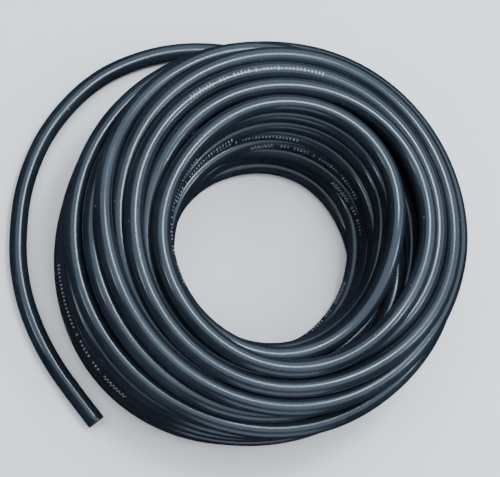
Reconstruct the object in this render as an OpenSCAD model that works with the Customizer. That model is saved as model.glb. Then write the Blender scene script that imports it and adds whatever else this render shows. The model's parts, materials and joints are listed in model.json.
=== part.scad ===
// A loose coil of round automotive cable, lying on its flat side. The wound turns are one
// closed ring of the coil's outer shape. The free end is built layer by layer, as the cable
// is made: strength core, ferrite layer, resistance winding, insulation, braid and jacket.
// Millimetres. +Z is up, and the origin is on the floor, on the axis of the coil's eye.

/* [Cable] */
// Diameter of the stranded strength core
core_d = 1.0; // [0.6:0.1:2]
// Thickness of the ferrite-loaded rubber around the core
ferrite_t = 0.6; // [0.3:0.1:1.2]
// Thickness of the close winding of resistance wire
winding_t = 0.2; // [0.1:0.05:0.4]
// Thickness of the insulation
insulation_t = 1.0; // [0.6:0.1:2]
// Thickness of the glass-fibre braid
braid_t = 0.3; // [0.2:0.05:0.6]
// Thickness of the outer jacket
jacket_t = 0.9; // [0.5:0.1:1.8]

/* [Coil] */
// Diameter of the clear eye through the coil
eye_d = 72; // [50:1:100]
// Radial width of the wound turns where they lie on the floor
base_w = 46; // [35:1:52]
// Radial width of the wound turns at the top
top_w = 40; // [25:1:50]
// Height of the coil
coil_h = 53; // [40:1:80]
// Height up to which the outside of the coil stands upright
waist_h = 26; // [12:1:32]
// Clearance around the free end where it leaves the wound turns
channel_gap = 0.3; // [0.1:0.1:1]

/* [Smoothness] */
// Sides of the free end's tubes
tube_sides = 12; // [8:1:12]
// Facets of round parts
round_fn = 96; // [48:8:128]

/* [Hidden] */

// Outer diameter of each layer, from the core outwards
ferrite_d = core_d + 2 * ferrite_t;
winding_d = ferrite_d + 2 * winding_t;
insulation_d = winding_d + 2 * insulation_t;
braid_d = insulation_d + 2 * braid_t;
cable_d = braid_d + 2 * jacket_t;
cable_r = cable_d / 2;

eye_r = eye_d / 2;
base_r = eye_r + base_w;
top_r = eye_r + top_w;
corner_steps = 6;

// The free end's route over the floor. It starts in the coil's outermost turn, and from the
// last point but one it runs straight to the cut end.
TAIL_XY = [
    [52, 60], [38, 72], [21, 80], [3, 86], [-15, 89], [-33, 88], [-50, 83], [-66, 74],
    [-79, 61], [-89, 45], [-95, 27], [-97, 9], [-96, -9], [-91, -27], [-81, -46], [-64, -68]
];
TAIL = [for (p = TAIL_XY) [p.x, p.y, cable_r]];
last = len(TAIL) - 1;

function unit(v) = v / norm(v);

// Direction of the route at its point i: that of the chord between the point's neighbours.
// The last stretch, up to the cut, is straight.
function heading(i) =
    i == 0 ? unit(TAIL[1] - TAIL[0]) :
    i >= last - 1 ? unit(TAIL[last] - TAIL[last - 1]) :
    unit(TAIL[i + 1] - TAIL[i - 1]);

// One ring of corners of radius r, square to the route at its point i
function ring(i, r) =
    let (along = heading(i), side = [-along.y, along.x, 0])
    [for (k = [0 : tube_sides - 1])
        let (a = -90 + k * 360 / tube_sides)
        TAIL[i] + r * cos(a) * side + r * sin(a) * [0, 0, 1]];

// One layer of the free end, from the wound turns to the cut: rings of the outer radius, then
// rings of the inner one. With no inner diameter it is solid, closed by two flat ends.
module layer(outer_d, inner_d) {
    n = tube_sides;
    hollow = inner_d > 0;
    outer = [for (i = [0 : last]) each ring(i, outer_d / 2)];
    inner = [for (i = [0 : last]) if (hollow) each ring(i, inner_d / 2)];
    in_0 = (last + 1) * n;
    end = last * n;
    skin = [for (i = [0 : last - 1], k = [0 : n - 1])
        let (j = (k + 1) % n)
        [i * n + k, (i + 1) * n + k, (i + 1) * n + j, i * n + j]];
    bore = [for (i = [0 : last - 1], k = [0 : n - 1])
        if (hollow)
        let (j = (k + 1) % n)
        [in_0 + i * n + j, in_0 + (i + 1) * n + j, in_0 + (i + 1) * n + k, in_0 + i * n + k]];
    rims = [for (k = [0 : n - 1])
        if (hollow)
        let (j = (k + 1) % n)
        each [[k, j, in_0 + j, in_0 + k], [end + j, end + k, in_0 + end + k, in_0 + end + j]]];
    caps = hollow ? [] : [[for (k = [0 : n - 1]) k], [for (k = [n - 1 : -1 : 0]) end + k]];
    polyhedron(points = concat(outer, inner), faces = concat(skin, bore, rims, caps), convexity = 4);
}

// Half section of the wound turns: upright at the eye, upright outside up to the waist, then
// sloping in to the top. Its outer corners are round like the cable.
function turns_section() =
    let (
        waist = [base_r, waist_h],
        shoulder = [top_r - cable_r, coil_h - cable_r],
        to_shoulder = shoulder - waist,
        slope = atan2(to_shoulder.y, to_shoulder.x) - asin(cable_r / norm(to_shoulder)) - 90
    )
    concat(
        [[eye_r, 0]],
        [for (k = [0 : corner_steps])
            let (a = -90 + 90 * k / corner_steps)
            [base_r - cable_r + cable_r * cos(a), cable_r + cable_r * sin(a)]],
        [waist],
        [for (k = [0 : corner_steps])
            let (a = slope + (90 - slope) * k / corner_steps)
            shoulder + cable_r * [cos(a), sin(a)]],
        [[eye_r, coil_h]]
    );

// The room that the free end takes up in the wound turns: a straight drilling along each
// stretch of its route, run on a little at the bends
module tail_channel() {
    run_on = cable_r / 2;
    for (i = [0 : last - 1]) {
        step = TAIL[i + 1] - TAIL[i];
        run_back = i == 0 ? 0 : run_on;
        translate(TAIL[i])
            rotate([0, 90, atan2(step.y, step.x)])
            translate([0, 0, -run_back])
            cylinder(h = norm(step) + run_back + run_on, r = cable_r + channel_gap, $fn = round_fn);
    }
}

module wound_coil() {
    color([0.16, 0.18, 0.22])
        difference() {
            rotate_extrude($fn = round_fn) polygon(turns_section());
            tail_channel();
        }
}

module tail_jacket() {
    color([0.13, 0.14, 0.17]) layer(cable_d, braid_d);
}

module tail_braid() {
    color([0.82, 0.80, 0.72]) layer(braid_d, insulation_d);
}

module tail_insulation() {
    color([0.30, 0.30, 0.31]) layer(insulation_d, winding_d);
}

module tail_resistance_winding() {
    color([0.70, 0.70, 0.72]) layer(winding_d, ferrite_d);
}

module tail_ferrite_layer() {
    color([0.08, 0.08, 0.09]) layer(ferrite_d, core_d);
}

module tail_core() {
    color([0.85, 0.72, 0.35]) layer(core_d, 0);
}

wound_coil();
tail_jacket();
tail_braid();
tail_insulation();
tail_resistance_winding();
tail_ferrite_layer();
tail_core();
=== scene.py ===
# %% [markdown]
# # A loose coil of ignition lead
#
# The object is one length of round, glossy, blue-black cable. Nearly all of it lies wound in a
# loose coil, and its free end runs round the outside and is cut square. There is nothing else
# to make, so the whole likeness rests on two things: how the turns lie, and how the jacket shines.
#
# The measured model comes first, and everything after it is placed from it.

import json
import math

import bpy
import numpy as np
from mathutils import Matrix, Vector


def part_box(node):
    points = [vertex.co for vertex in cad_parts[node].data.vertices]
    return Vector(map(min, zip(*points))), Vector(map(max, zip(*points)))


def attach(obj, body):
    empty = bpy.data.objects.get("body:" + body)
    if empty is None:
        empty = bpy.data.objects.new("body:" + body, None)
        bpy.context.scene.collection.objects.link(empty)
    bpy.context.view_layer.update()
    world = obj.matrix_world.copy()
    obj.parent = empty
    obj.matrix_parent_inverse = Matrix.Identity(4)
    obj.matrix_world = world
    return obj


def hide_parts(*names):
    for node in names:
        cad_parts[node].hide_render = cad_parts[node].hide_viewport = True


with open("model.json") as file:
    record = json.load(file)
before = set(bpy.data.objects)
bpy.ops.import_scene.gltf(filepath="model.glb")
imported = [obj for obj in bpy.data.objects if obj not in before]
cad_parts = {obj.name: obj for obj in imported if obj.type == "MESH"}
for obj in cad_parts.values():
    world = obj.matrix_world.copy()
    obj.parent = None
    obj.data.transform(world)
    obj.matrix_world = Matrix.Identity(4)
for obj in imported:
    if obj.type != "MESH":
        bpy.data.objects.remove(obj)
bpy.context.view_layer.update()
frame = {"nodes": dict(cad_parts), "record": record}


MM = 0.001

# %% [markdown]
# ## The camera
#
# A loose coil is best seen from nearly overhead, where both the spread of its top turns and the
# stack on the far wall of its eye show. A camera can be aimed with a constraint, but a matrix
# built from the three directions it looks along also fixes its roll, so that is used here.

# %% Camera
CAMERA_ELEVATION = math.radians(73)
CAMERA_AZIMUTH = math.radians(-39.5)
CAMERA_DISTANCE = 0.560
AIM = Vector((-3.1, 8.3, 4.9)) * MM
LENS = 98

back = Vector((
    math.sin(CAMERA_AZIMUTH) * math.cos(CAMERA_ELEVATION),
    -math.cos(CAMERA_AZIMUTH) * math.cos(CAMERA_ELEVATION),
    math.sin(CAMERA_ELEVATION),
))
right = Vector((0, 1, 0)).cross(back).normalized()
up = back.cross(right)
eye = AIM + back * CAMERA_DISTANCE

camera = bpy.data.objects.new("camera", bpy.data.cameras.new("camera"))
camera.data.lens = LENS
camera.data.clip_start = 0.01
camera.matrix_world = Matrix((
    (right.x, up.x, back.x, eye.x),
    (right.y, up.y, back.y, eye.y),
    (right.z, up.z, back.z, eye.z),
    (0, 0, 0, 1),
))
bpy.context.scene.collection.objects.link(camera)
bpy.context.scene.camera = camera
print("camera at", [round(v, 3) for v in eye])

# %% [markdown]
# ## How the turns lie
#
# On the real coil each turn rests in the grooves of its neighbours, wanders in and out, and dives
# under the next one. One spring-like helix would look like a machine part. A rope simulation
# could drop thirteen metres of cable, but would never land the turns where they lie here.
#
# So the coil is laid from listed values and then settled. Every turn has a radius and a height at each
# eighth of the way round. The hidden turns get theirs from a rule, and the ones that show are
# laid one by one. The settling then pushes apart whatever lies in something else.

# %% The clock positions of the coil
EIGHTHS = 8
CABLE_D = (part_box("tail_jacket")[1][2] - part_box("tail_jacket")[0][2]) / MM
CABLE_R = CABLE_D / 2
EYE_R = next(m for m in frame["record"]["mounts"] if m["name"] == "eye")["dims"]["r_mm"]

# Radii, in millimetres, of the lowest inner turn, the inner wall's top and the outer wall
EYE_FOOT = np.array([41.5, 43, 41.5, 39.5, 39.5, 39.5, 40.5, 42])
EYE_TOP = np.array([43.8, 51.2, 49.8, 45.5, 44.5, 45, 46, 43.6])
OUTSIDE = np.array([72.5, 78.6, 78.5, 78.5, 78.5, 79, 71.5, 68.5])
WALL_TOP = 42.8
print("cable", round(CABLE_D, 2), "mm, eye radius", EYE_R, "mm")

# %% [markdown]
# The heart of the coil is three columns of turns between the eye's wall and the outside. Turns
# of neighbouring columns lie in each other's grooves, so every other column is raised by half a
# turn. The winding starts at the top of the outermost column, goes down it, up the next and down
# the last, and then climbs the wall of the eye.

# %% Hidden turns and the wall of the eye
LEVEL_ROWS = (3.5, 10, 16.5, 23, 29.3, 35.4)
RAISED_ROWS = (6.8, 13.3, 19.8, 26.2, 32.5)
CORE_COLUMNS = 4
WALL_ROWS = (3.5, 10.1, 16.7, 23.3, 29.9, 36.4, 42.8)


def core_turn(column, height):
    """A turn of one column of the heart, at one height."""
    inner = EYE_FOOT + (EYE_TOP - EYE_FOOT) * height / WALL_TOP
    return inner + (OUTSIDE - inner) * column / CORE_COLUMNS, np.full(EIGHTHS, height)


def wall_turn(height):
    """A turn of the eye's wall, which leans outwards as it rises."""
    share = ((height - CABLE_R) / (WALL_TOP - CABLE_R)) ** 1.2
    return EYE_FOOT + (EYE_TOP - EYE_FOOT) * share, np.full(EIGHTHS, height)


turns = [core_turn(3, height) for height in reversed(RAISED_ROWS)]
turns += [core_turn(2, height) for height in LEVEL_ROWS]
turns += [core_turn(1, height) for height in reversed(RAISED_ROWS)]
turns += [wall_turn(height) for height in WALL_ROWS]
hidden_turns = len(turns)
print("turns laid by rule", hidden_turns)

# %% [markdown]
# The top is a slow outward spiral. Its turns dive under each other and come up again a turn
# later, and from the rim they go down the outside to the floor. Each line is one turn: its
# radius at the eight clock positions, then its height there.

# %% Turns that show, laid one by one
LAID_TURNS = [
    ((43.8, 53.5, 52, 46, 45.5, 46.3, 51.5, 53.8), (50.2, 50.6, 49.8, 49.5, 49.5, 49.5, 49.5, 49.5)),
    ((58.5, 63, 59, 54.5, 50.5, 50.7, 54, 58), (49.5, 49.5, 49.5, 49.5, 44.5, 43, 42.5, 43.5)),
    ((64, 68.8, 66, 61, 55, 55.3, 57.2, 62), (45.3, 45.2, 49.3, 49, 49.5, 48.5, 45, 47.5)),
    ((70, 75.5, 72.6, 67.8, 60.5, 59, 60.5, 61), (43.5, 42.6, 47, 46.5, 45, 42, 39, 40.5)),
    ((62.5, 66, 70.5, 72.5, 71, 68.4, 67.8, 62.5), (37.5, 37.8, 39.5, 36, 43.7, 41.8, 37, 34)),
    ((69.5, 72.8, 77.3, 74.2, 65.8, 62.3, 63.2, 67.4), (36.5, 36, 41.5, 42.5, 49, 45.5, 41.7, 43)),
    ((73, 78.8, 79, 78.5, 77.4, 74.4, 70.8, 68.6), (37.5, 36, 34.8, 35, 36.5, 36, 33, 35.5)),
    ((72.5, 78.8, 78.8, 78.5, 78.5, 77.4, 71.5, 68.5), (30.5, 29.3, 27.6, 27.3, 28, 27.6, 26, 27.8)),
    ((72.5, 79, 78.6, 78.5, 79, 79.3, 71.5, 68.5), (23.7, 22.6, 20, 19.5, 19.5, 19.5, 18.8, 20)),
    ((72.5, 79, 78.6, 78.5, 79, 80.5, 71.5, 68.5), (17, 16, 12.2, 11.5, 11.5, 11.5, 11.3, 12)),
    ((72.5, 79, 78, 78.5, 79, 80, 71.5, 68.5), (10.3, 10.3, 4.5, 3.5, 3.5, 3.5, 3.5, 3.5)),
]
turns += [(np.array(r, float), np.array(z, float)) for r, z in LAID_TURNS]

# The free end's route over the floor, as in the measured model, in millimetres
TAIL_XY = [
    (52, 60), (38, 72), (21, 80), (3, 86), (-15, 89), (-33, 88), (-50, 83), (-66, 74),
    (-79, 61), (-89, 45), (-95, 27), (-97, 9), (-96, -9), (-91, -27), (-81, -46), (-64, -68),
]
print("turns in all", len(turns))

# %% [markdown]
# A smooth line through a row of values needs no curve object: the Catmull-Rom formula gives the
# value anywhere between two points from those two and their neighbours.


# %% A smooth line through points
def smooth_line(points, at):
    """Points on the smooth line through the given ones; 1.5 is halfway from the second to the third."""
    points = np.asarray(points, float)
    last = len(points) - 1
    i = np.clip(np.floor(at).astype(int), 0, last - 1)
    f = (at - i)[:, None]
    before, here = points[np.clip(i - 1, 0, last)], points[i]
    then, after = points[i + 1], points[np.clip(i + 2, 0, last)]
    curve = 2 * before - 5 * here + 4 * then - after + f * (3 * (here - then) + after - before)
    return here + 0.5 * f * (then - before + f * curve)


PLANES = 72
PLANE_ANGLE = 2 * math.pi / PLANES
TAIL_ANGLE = math.atan2(TAIL_XY[0][1], TAIL_XY[0][0])
tail_plane = round(TAIL_ANGLE / PLANE_ANGLE)
end = len(turns) * PLANES + tail_plane

# The last turn runs on along the floor to where the free end leaves it
tail_r = math.hypot(*TAIL_XY[0])
laid_r = np.concatenate([r for r, z in turns] + [[77, tail_r]])
laid_z = np.concatenate([z for r, z in turns] + [[CABLE_R, CABLE_R]])
along = np.arange(end + 1) / PLANES * EIGHTHS
laid = smooth_line(np.stack([laid_r, laid_z], 1), along)
print("points laid", len(laid))

# %% [markdown]
# ## Settling
#
# Seen in any upright plane through the eye's axis, the coil is a pile of discs. Discs that
# overlap are pushed apart, the cable's stiffness keeps neighbouring planes alike, the floor and
# the eye hold, and the laid turns are pulled back to where they were laid. With 72 planes that
# is a few seconds of array work, and it always gives the same pile. The stiffness has to stay
# under 0.42, or each step would overshoot by more than the last. A light smoothing at the end
# takes out the kinks that the last pushes leave.


# %% Settle the pile
HEART_PULL = 0.02
LAID_PULL = 0.25
SINK = 0.01
GIVE = 0.15
STIFFNESS = 0.4
STEPS = 400
LOOSE_STEPS = 3
PUSHES_A_STEP = 2
PUSH_SHARE = 0.42
FAR_AWAY = 500
NO_ZERO = 1e-9


def settle(laid, pull):
    """The laid line, moved so that no stretch of cable lies in another."""
    rows = len(turns) + 1
    apart = ~np.eye(rows, dtype=bool)
    spare = np.arange(end + 1, rows * PLANES)
    angle = (spare - len(turns) * PLANES) * PLANE_ANGLE
    tail = np.array(TAIL_XY, float)
    tail_angle = np.unwrap(np.arctan2(tail[:, 1], tail[:, 0]))
    radius = np.where(
        angle <= tail_angle[-1], np.interp(angle, tail_angle, np.hypot(*tail.T)), FAR_AWAY + angle
    )
    fixed = np.stack([radius, np.full(len(spare), CABLE_R)], 1)
    line = laid.copy()
    for step in range(STEPS):
        line += 0.5 * (1 - step / STEPS) * pull[:, None] * (laid - line)
        line[:, 1] -= np.where(pull > HEART_PULL, 0, SINK)
        if step < STEPS - LOOSE_STEPS:
            bend = np.zeros_like(line)
            bend[1:-1] = (line[:-2] + line[2:]) / 2 - line[1:-1]
            stiff = np.zeros_like(line)
            stiff[1:-1] = (bend[:-2] + bend[2:]) / 2 - bend[1:-1]
            line += GIVE * bend - STIFFNESS * stiff
        for _ in range(PUSHES_A_STEP):
            discs = np.concatenate([line, fixed]).reshape(rows, PLANES, 2).transpose(1, 0, 2)
            between = discs[:, :, None] - discs[:, None]
            distance = np.sqrt((between ** 2).sum(-1)) + NO_ZERO
            overlap = np.where(apart, np.maximum(CABLE_D - distance, 0), 0)
            push = PUSH_SHARE * (between / distance[..., None] * overlap[..., None]).sum(2)
            line += push.transpose(1, 0, 2).reshape(-1, 2)[:end + 1]
            line[:, 0] = np.maximum(line[:, 0], EYE_R + CABLE_R)
            line[:, 1] = np.maximum(line[:, 1], CABLE_R)
            line[-1] = tail_r, CABLE_R
            line[-2, 1] = CABLE_R
    line[1:-1] = (line[:-2] + 2 * line[1:-1] + line[2:]) / 4
    return line


heart_turns = hidden_turns - len(WALL_ROWS)
pull = np.interp(along / EIGHTHS, (heart_turns - 0.5, heart_turns + 0.5), (HEART_PULL, LAID_PULL))
settled = settle(laid, pull)
moved = np.abs(settled - laid)[hidden_turns * PLANES:].mean(0)
print("laid turns moved by", moved.round(2), "mm on average")

# %% [markdown]
# The settled line is joined to the free end's route, and points are taken off it at even
# steps, because the rings of the cable's skin should be evenly spaced.

# %% One centreline from end to end
RING_STEP = 2.4
turn_angle = np.arange(end) * PLANE_ANGLE
coil_points = np.stack([
    settled[:end, 0] * np.cos(turn_angle), settled[:end, 0] * np.sin(turn_angle), settled[:end, 1]
], 1)
tail_points = np.array([(x, y, CABLE_R) for x, y in TAIL_XY])
knots = np.concatenate([coil_points, tail_points])
FINE = 10
fine = smooth_line(knots, np.arange(len(knots) * FINE - FINE + 1) / FINE)
run = np.concatenate([[0], np.cumsum(np.linalg.norm(np.diff(fine, axis=0), axis=1))])
cable_length = float(run[-1])
rings = round(cable_length / RING_STEP) + 1
station = np.linspace(0, cable_length, rings)
centre = np.stack([np.interp(station, run, fine[:, k]) for k in range(3)], 1)
turns_at = np.interp(station, run, np.arange(len(fine)) / FINE / PLANES)
print("cable length", round(cable_length * MM, 3), "m in", rings, "rings")

# %% [markdown]
# ## The cable's skin
#
# A bevelled curve would make a round tube too, but the printed marks have to face up on one
# turn and sideways on another. So the skin is a mesh: a ring of points round each point of the
# centreline, turned so that the printed side faces the chosen way, with a UV map that runs
# in metres along the cable and from 0 to 1 round it. The printed side is at one half.

# %% Which way the printed side faces
# Turn of the coil, and the printed side's direction there: 0 is outwards, 90 is up
PRINT_FACING = [
    (0, 270), (heart_turns, 270), (heart_turns + 0.5, 150), (hidden_turns, 150),
    (hidden_turns + 0.8, 225), (hidden_turns + 1.8, 215),
    (hidden_turns + 2.1, 95), (hidden_turns + 2.5, 90), (hidden_turns + 2.9, 250),
    (hidden_turns + 6.9, 250), (hidden_turns + 7.5, 385), (hidden_turns + 10.5, 400),
    (hidden_turns + 11, 270), (hidden_turns + 12, 270),
]
facing = np.radians(np.interp(turns_at, *np.array(PRINT_FACING).T))

SIDES = 18
ahead = np.gradient(centre, axis=0)
ahead /= np.linalg.norm(ahead, axis=1)[:, None]
outward = np.cross(ahead, (0, 0, 1))
outward /= np.linalg.norm(outward, axis=1)[:, None]
upward = np.cross(outward, ahead)


def ring_points(at, radius, shift):
    """The points of the ring of one radius round one place on the centreline, moved on by shift."""
    around = facing[at] + (np.arange(SIDES) / SIDES - 0.5) * 2 * math.pi
    spokes = np.outer(np.cos(around), outward[at]) + np.outer(np.sin(around), upward[at])
    return centre[at] + shift * ahead[at] + radius * spokes


# %% [markdown]
# Both ends are cut square. The knife leaves a slight burr-free edge, so the rim is broken by a
# fifth of a millimetre, and at the free end the jacket is hollow down to the braid, so that the
# cable's own layers show inside it.

# %% Build the skin
RIM = 0.2
HOLLOW_DEPTH = 6
CLOSED_R = 0.02
BRAID_R = (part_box("tail_braid")[1][2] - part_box("tail_braid")[0][2]) / 2 / MM
last = rings - 1
ring_list = [(0, CLOSED_R, 0), (0, CABLE_R - RIM, 0), (0, CABLE_R, RIM)]
ring_list += [(i, CABLE_R, 0) for i in range(1, last)]
ring_list += [(last, CABLE_R, -RIM), (last, CABLE_R - RIM, 0), (last, BRAID_R, 0)]
ring_list += [(last, BRAID_R, -HOLLOW_DEPTH)]
points = np.concatenate([ring_points(at, radius, shift) for at, radius, shift in ring_list]) * MM
lengthwise = np.array([station[at] + shift for at, radius, shift in ring_list]) * MM

strips, sides = np.meshgrid(np.arange(len(ring_list) - 1), np.arange(SIDES), indexing="ij")
strips, sides = strips.ravel(), sides.ravel()
beside = (sides + 1) % SIDES
faces = np.stack([
    strips * SIDES + sides, (strips + 1) * SIDES + sides,
    (strips + 1) * SIDES + beside, strips * SIDES + beside,
], 1)
skin = bpy.data.meshes.new("cable")
skin.from_pydata(points.tolist(), [], faces.tolist())
uv = np.empty((len(faces), 4, 2), np.float32)
uv[:, 0, 0] = uv[:, 3, 0] = lengthwise[strips]
uv[:, 1, 0] = uv[:, 2, 0] = lengthwise[strips + 1]
uv[:, 0, 1] = uv[:, 1, 1] = sides / SIDES
uv[:, 2, 1] = uv[:, 3, 1] = (sides + 1) / SIDES
skin.uv_layers.new(name="cable").data.foreach_set("uv", uv.ravel())
skin.shade_smooth()
cable = bpy.data.objects.new("cable", skin)
bpy.context.scene.collection.objects.link(cable)
print("skin", len(points), "points,", len(faces), "faces")

# %% [markdown]
# ## Shader arithmetic
#
# A material's pattern is arithmetic on coordinates. Written with node calls it takes a page, so
# one small class wraps a socket and lets Python's own operators add the Math nodes.


# %% A socket that can be calculated with
def operator(operation, swapped=False):
    """A method for one of Python's operators, which adds the Math node of one operation."""
    def apply(self, *others):
        values = (self, *others)
        return self.math(operation, *(values[::-1] if swapped else values))
    return apply


class Flow:
    """A shader socket. Arithmetic on it adds Math nodes, and make() adds any other node."""

    def __init__(self, tree, socket=None):
        self.tree, self.socket = tree, socket

    def make(self, kind, settings=(), inputs=(), out=0):
        """One of the outputs of a new node, with its settings and inputs filled in."""
        node = self.tree.nodes.new(kind)
        for name, value in dict(settings).items():
            setattr(node, name, value)
        for name, value in dict(inputs).items():
            socket = node.inputs[name]
            if isinstance(value, Flow):
                self.tree.links.new(value.socket, socket)
            else:
                socket.default_value = value
        return Flow(self.tree, node.outputs[out])

    def math(self, operation, *values):
        """The result of a new Math node."""
        return self.make("ShaderNodeMath", {"operation": operation}, dict(enumerate(values)))

    __add__ = operator("ADD")
    __radd__ = operator("ADD", swapped=True)
    __sub__ = operator("SUBTRACT")
    __rsub__ = operator("SUBTRACT", swapped=True)
    __mul__ = operator("MULTIPLY")
    __truediv__ = operator("DIVIDE")
    __mod__ = operator("FLOORED_MODULO")
    __lt__ = operator("LESS_THAN")
    __gt__ = operator("GREATER_THAN")
    __abs__ = operator("ABSOLUTE")
    floor = operator("FLOOR")

    def rise(self, low, high):
        """0 below low, 1 above high, and a straight rise between."""
        return self.make("ShaderNodeMapRange", {"clamp": True},
                         {"Value": self, "From Min": low, "From Max": high})

    def mix(self, one, other):
        """Colour one where this is 0, colour other where it is 1."""
        return self.make("ShaderNodeMix", {"data_type": "RGBA"}, {0: self, 6: one, 7: other}, 2)

    def noise(self, place, scale, detail):
        """Noise at a place, from 0 to 1 and mostly near a half."""
        return self.make("ShaderNodeTexNoise", {}, {"Vector": place, "Scale": scale, "Detail": detail})


def new_material(name, **uniform):
    """A material, a Flow on its tree and its shader node with the values that are the same all over."""
    material = bpy.data.materials.new(name)
    material.use_nodes = True
    shader = material.node_tree.nodes["Principled BSDF"]
    for socket, value in uniform.items():
        shader.inputs[socket.replace("_", " ")].default_value = value
    return material, Flow(material.node_tree), shader


def feed(flow, shader, **sockets):
    """Link values that change over the surface to the shader."""
    for name, value in sockets.items():
        flow.tree.links.new(value.socket, shader.inputs[name.replace("_", " ")])


# %% [markdown]
# ## The jacket
#
# Extruded PVC: blue-black, glossy, with a faint unevenness from the die. Handling leaves fine
# scuffs along the cable, and dust settles on it as pale specks. The print is white ink in one
# line, and here it is only short bars and a zigzag, which say nothing.

# %% Jacket material
BLUISH = (0.72, 0.87, 1, 1)
jacket, flow, shader = new_material("jacket", IOR=1.5, Coat_Roughness=0.1, Specular_Tint=BLUISH)
at_uv = flow.make("ShaderNodeUVMap", {"uv_map": "cable"})
along_u = flow.make("ShaderNodeSeparateXYZ", {}, {0: at_uv}, 0)
around_v = flow.make("ShaderNodeSeparateXYZ", {}, {0: at_uv}, 1)
place = flow.make("ShaderNodeTexCoord", {}, {}, 3)
MM_PER_M = 1000
along_mm = along_u * MM_PER_M
across_mm = (around_v - 0.5) * (2 * math.pi * CABLE_R)

# Print: one short row of marks, again and again. Its zigzag starts on the third top turn.
MARKS_EVERY = 310
ZIGZAG_AT_TURN = hidden_turns + 2 + 125 / 360
marks_from = float(np.interp(ZIGZAG_AT_TURN, turns_at, station))
MARKS_LONG = 57
MARKS_HALF_HIGH = 0.85
ZIGZAG_LONG = 11
ZIGZAG_TOOTH = 1.5
AFTER_ZIGZAG = 2
CELL = 1.5
BAR_HALF_SHARE = 0.2
LOWEST_BAR = 0.35
HALF_STROKE = 0.3
CELLS_LEFT_OUT = 0.13
x = (marks_from - along_mm) % MARKS_EVERY
cell = (x / CELL).floor()
inside = (x / CELL) - cell
chance = flow.make("ShaderNodeTexWhiteNoise", {"noise_dimensions": "1D"}, {"W": cell})
bar_high = LOWEST_BAR + chance * (MARKS_HALF_HIGH - LOWEST_BAR)
bars = (abs(inside - 0.5) < BAR_HALF_SHARE) * (abs(across_mm) < bar_high) * (chance > CELLS_LEFT_OUT)
bars = bars * (x > ZIGZAG_LONG + AFTER_ZIGZAG) * (x < MARKS_LONG)
zigzag = abs((x / ZIGZAG_TOOTH) % 1 - 0.5) * (4 * MARKS_HALF_HIGH) - MARKS_HALF_HIGH
zigzag_line = (abs(across_mm - zigzag) < HALF_STROKE) * (x < ZIGZAG_LONG)
worn = flow.noise(place, 900, 3).rise(0.34, 0.5)
ink = (bars + zigzag_line) * worn

# Wear: scuffs run along the cable, dust lies anywhere
stretched = flow.make("ShaderNodeCombineXYZ", {}, {0: along_u * 60, 1: across_mm * 0.9, 2: 0.0})
scuff = flow.noise(stretched, 2.2, 5).rise(0.63, 0.74)
cloud = flow.noise(place, 34, 3)
grain = flow.noise(place, 520, 4)
speck_at = flow.make("ShaderNodeTexVoronoi", {}, {"Vector": place, "Scale": 210})
speck = (1 - speck_at.rise(0.03, 0.09)) * flow.noise(place, 60, 2).rise(0.58, 0.68)

DARK_BLUE, BLUE_BLACK = (0.010, 0.013, 0.019, 1), (0.017, 0.022, 0.031, 1)
SCUFFED, DUST, WHITE_INK = (0.10, 0.11, 0.13, 1), (0.42, 0.43, 0.44, 1), (0.50, 0.53, 0.57, 1)
body = cloud.rise(0.35, 0.65).mix(DARK_BLUE, BLUE_BLACK)
body = (scuff * 0.35).mix(body, SCUFFED)
body = (speck * 0.7).mix(body, DUST)
body = (ink * 0.5).mix(body, WHITE_INK)
rough = 0.13 + cloud.rise(0.3, 0.7) * 0.17 + grain * 0.06 + scuff * 0.22 + speck * 0.3 + ink * 0.12
height = cloud * 0.6 + grain * 0.12 + ink * 0.25
bump = flow.make("ShaderNodeBump", {}, {"Strength": 0.10, "Distance": 0.0006, "Height": height})
COAT = 0.15
coat = COAT - scuff * COAT
feed(flow, shader, Base_Color=body, Roughness=rough, Normal=bump, Coat_Weight=coat)
skin.materials.append(jacket)
print("jacket nodes", len(jacket.node_tree.nodes))

# %% [markdown]
# ## The layers at the cut
#
# Inside the jacket are a glass braid, a grey insulation, a close winding of fine wire, black
# ferrite rubber and a yellow stranded core. Their measured tubes are right as they are and only
# need their finishes, which are worked out from where a point lies on the cut.


# %% Finishes of the inner layers
def layer_finish(name, dark, light, scale, roughness, metallic=0.0):
    """A finish that varies between two colours at the scale of its own grain."""
    material, flow, shader = new_material(name, Metallic=metallic)
    place = flow.make("ShaderNodeTexCoord", {}, {}, 3)
    grain = flow.noise(place, scale, 4)
    threads = flow.make("ShaderNodeTexVoronoi", {}, {"Vector": place, "Scale": scale * 1.5})
    mixed = (grain.rise(0.35, 0.65) * threads.rise(0.1, 0.6)).mix(dark, light)
    bump = flow.make("ShaderNodeBump", {}, {"Strength": 0.5, "Distance": 0.0002, "Height": grain + threads})
    feed(flow, shader, Base_Color=mixed, Roughness=roughness + grain * 0.15, Normal=bump)
    return material


FINISHES = {
    "tail_braid": layer_finish("braid", (0.40, 0.38, 0.32, 1), (0.82, 0.80, 0.72, 1), 1800, 0.65),
    "tail_insulation": layer_finish("insulation", (0.12, 0.12, 0.13, 1), (0.26, 0.26, 0.27, 1), 900, 0.6),
    "tail_resistance_winding": layer_finish(
        "resistance_wire", (0.35, 0.34, 0.33, 1), (0.75, 0.74, 0.72, 1), 3000, 0.25, metallic=1.0),
    "tail_ferrite_layer": layer_finish(
        "ferrite_rubber", (0.012, 0.012, 0.013, 1), (0.05, 0.05, 0.055, 1), 1500, 0.7),
    "tail_core": layer_finish("strength_core", (0.42, 0.30, 0.09, 1), (0.85, 0.70, 0.32, 1), 2600, 0.6),
}
for node, material in FINISHES.items():
    layer = frame["nodes"][node]
    layer.data.materials.clear()
    layer.data.materials.append(material)
print("layers finished", sorted(FINISHES))

# %% [markdown]
# ## What the cable is
#
# The cable stands for the two plain jacket solids of the measured model. The free end leaves the
# coil low on its outside, and the cut there is bare.

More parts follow.
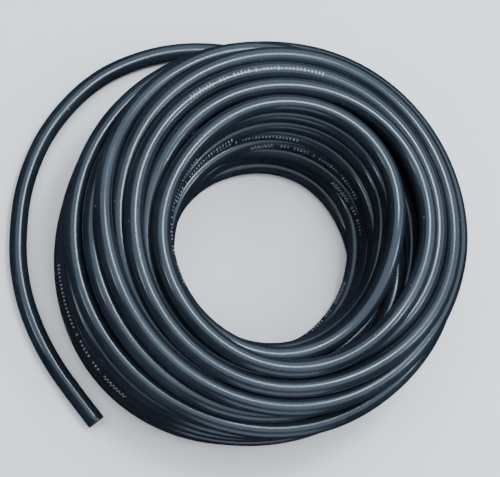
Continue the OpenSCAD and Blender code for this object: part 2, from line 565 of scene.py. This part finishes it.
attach(cable, "root")
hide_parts("wound_coil", "tail_jacket")

# %% [markdown]
# ## Floor and light
#
# The wide pale band along each turn is a softbox overhead, and the thin bright line in it is a
# small lamp. Two small windows at the sides streak the wall of the eye, and a low light picks out
# the turns on the near outside. Grooves go nearly black because the turns hide the light from
# each other. The floor isn't mirrored in the jacket, so that their undersides stay dark.

# %% Floor
FLOOR_HALF = 2.5
floor_mesh = bpy.data.meshes.new("floor")
floor_mesh.from_pydata(
    [(-FLOOR_HALF, -FLOOR_HALF, 0), (FLOOR_HALF, -FLOOR_HALF, 0),
     (FLOOR_HALF, FLOOR_HALF, 0), (-FLOOR_HALF, FLOOR_HALF, 0)], [], [(0, 1, 2, 3)])
floor = bpy.data.objects.new("floor", floor_mesh)
bpy.context.scene.collection.objects.link(floor)
floor.visible_glossy = False
paper, flow, shader = new_material("floor_paper", Roughness=0.9, Base_Color=(0.88, 0.88, 0.88, 1))
shader.inputs["Specular IOR Level"].default_value = 0.1
floor_mesh.materials.append(paper)


# %% Lights
def area_light(name, place, size, watts, colour=(1, 1, 1)):
    """A square lamp at a place, facing the origin."""
    lamp = bpy.data.lights.new(name, "AREA")
    lamp.size, lamp.energy, lamp.color = size, watts, colour
    holder = bpy.data.objects.new(name, lamp)
    holder.location = place
    holder.rotation_euler = Vector(place).to_track_quat("Z", "Y").to_euler()
    bpy.context.scene.collection.objects.link(holder)
    return holder


area_light("softbox", (0.20, 0.24, 0.72), 1.7, 20, (0.80, 0.91, 1.0))
area_light("lamp", (0.12, 0.145, 0.60), 0.12, 1.5, (0.93, 0.97, 1.0))
area_light("window", (-0.55, -0.13, 0.62), 0.11, 0.7, (0.93, 0.97, 1.0))
area_light("second window", (0.50, -0.10, 0.53), 0.11, 0.8, (0.93, 0.97, 1.0))
area_light("low light", (0.10, -0.90, 0.18), 0.6, 2.6, (0.80, 0.88, 1.0))
fill = area_light("fill", (0, 0, 1.1), 1.4, 5)
fill.visible_glossy = False
world = bpy.data.worlds.new("studio")
world.use_nodes = True
world.node_tree.nodes["Background"].inputs["Color"].default_value = (0.75, 0.8, 0.9, 1)
world.node_tree.nodes["Background"].inputs["Strength"].default_value = 0.02
bpy.context.scene.world = world
